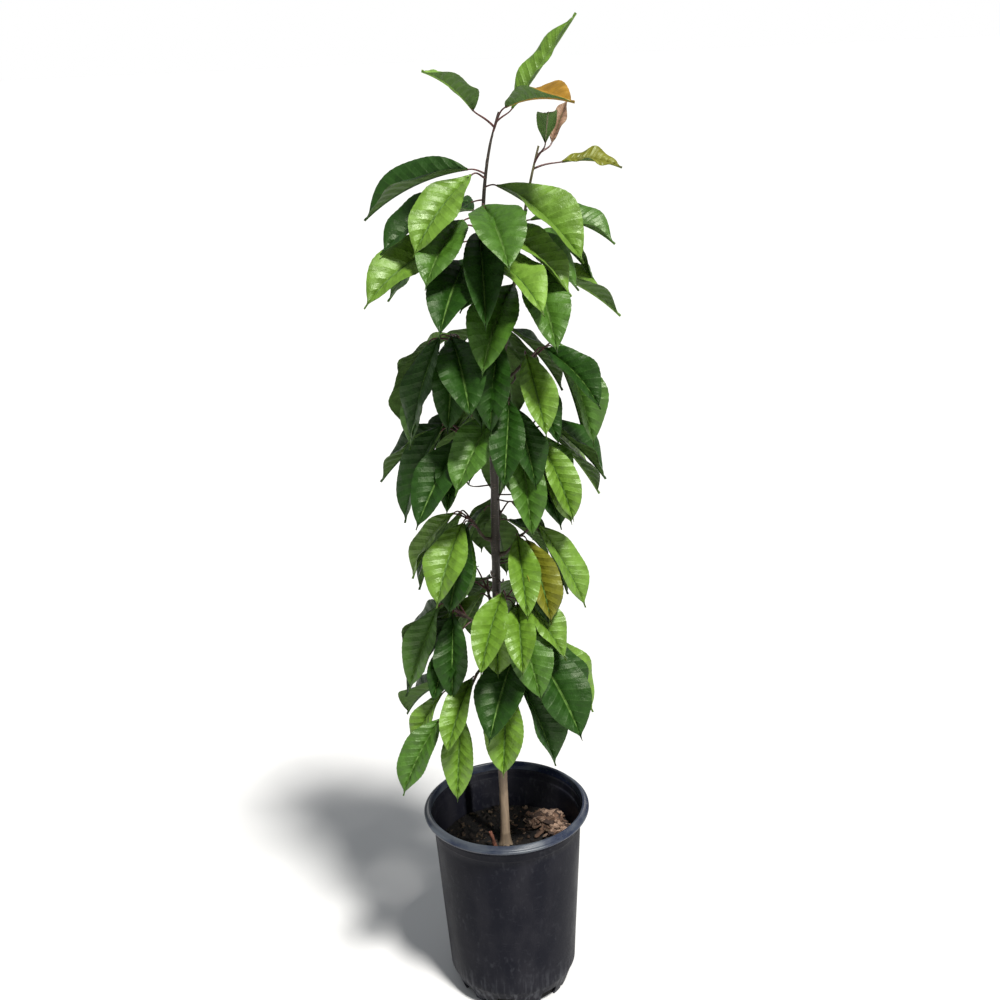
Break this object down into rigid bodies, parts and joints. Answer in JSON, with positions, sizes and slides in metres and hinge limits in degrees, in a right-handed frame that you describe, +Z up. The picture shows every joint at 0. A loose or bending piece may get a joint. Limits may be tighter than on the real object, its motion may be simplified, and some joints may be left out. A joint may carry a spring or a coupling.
{
  "type": "potted plum tree",
  "caption": "Young fruit tree in a black nursery pot: a slender leaning trunk, two leading shoots near the top, and long drooping leaves in separate masses all the way up.",
  "frame": {"origin": "centre of the pot's flat underside, on the ground", "axes": "+Z up along the height of the tree; -Y is the front, the side seen in the picture; +X is the right seen from the front"},
  "size_m": [0.3708, 0.3508, 1.5398],
  "materials": {
    "pot_plastic": "satin",
    "potting_mix": "matte",
    "bark": "matte",
    "foliage": "satin"
  },
  "bodies": {
    "root": {"pot": "pot_plastic", "soil": "potting_mix", "trunk": "bark", "leader_bough": "bark", "shoot_bough": "bark", "low_front_left": "foliage", "low_front": "foliage", "low_right": "foliage", "low_left": "foliage", "low_centre": "foliage", "low_back_right": "foliage", "low_back_left": "foliage", "waist_left": "foliage", "waist_right": "foliage", "waist_back": "foliage", "mid_left": "foliage", "mid_right": "foliage", "mid_front": "foliage", "mid_back_left": "foliage", "mid_back_right": "foliage", "high_left": "foliage", "high_right": "foliage", "high_front": "foliage", "high_back": "foliage", "leader_crown": "foliage", "shoot_crown": "foliage"}
  },
  "joints": []
}
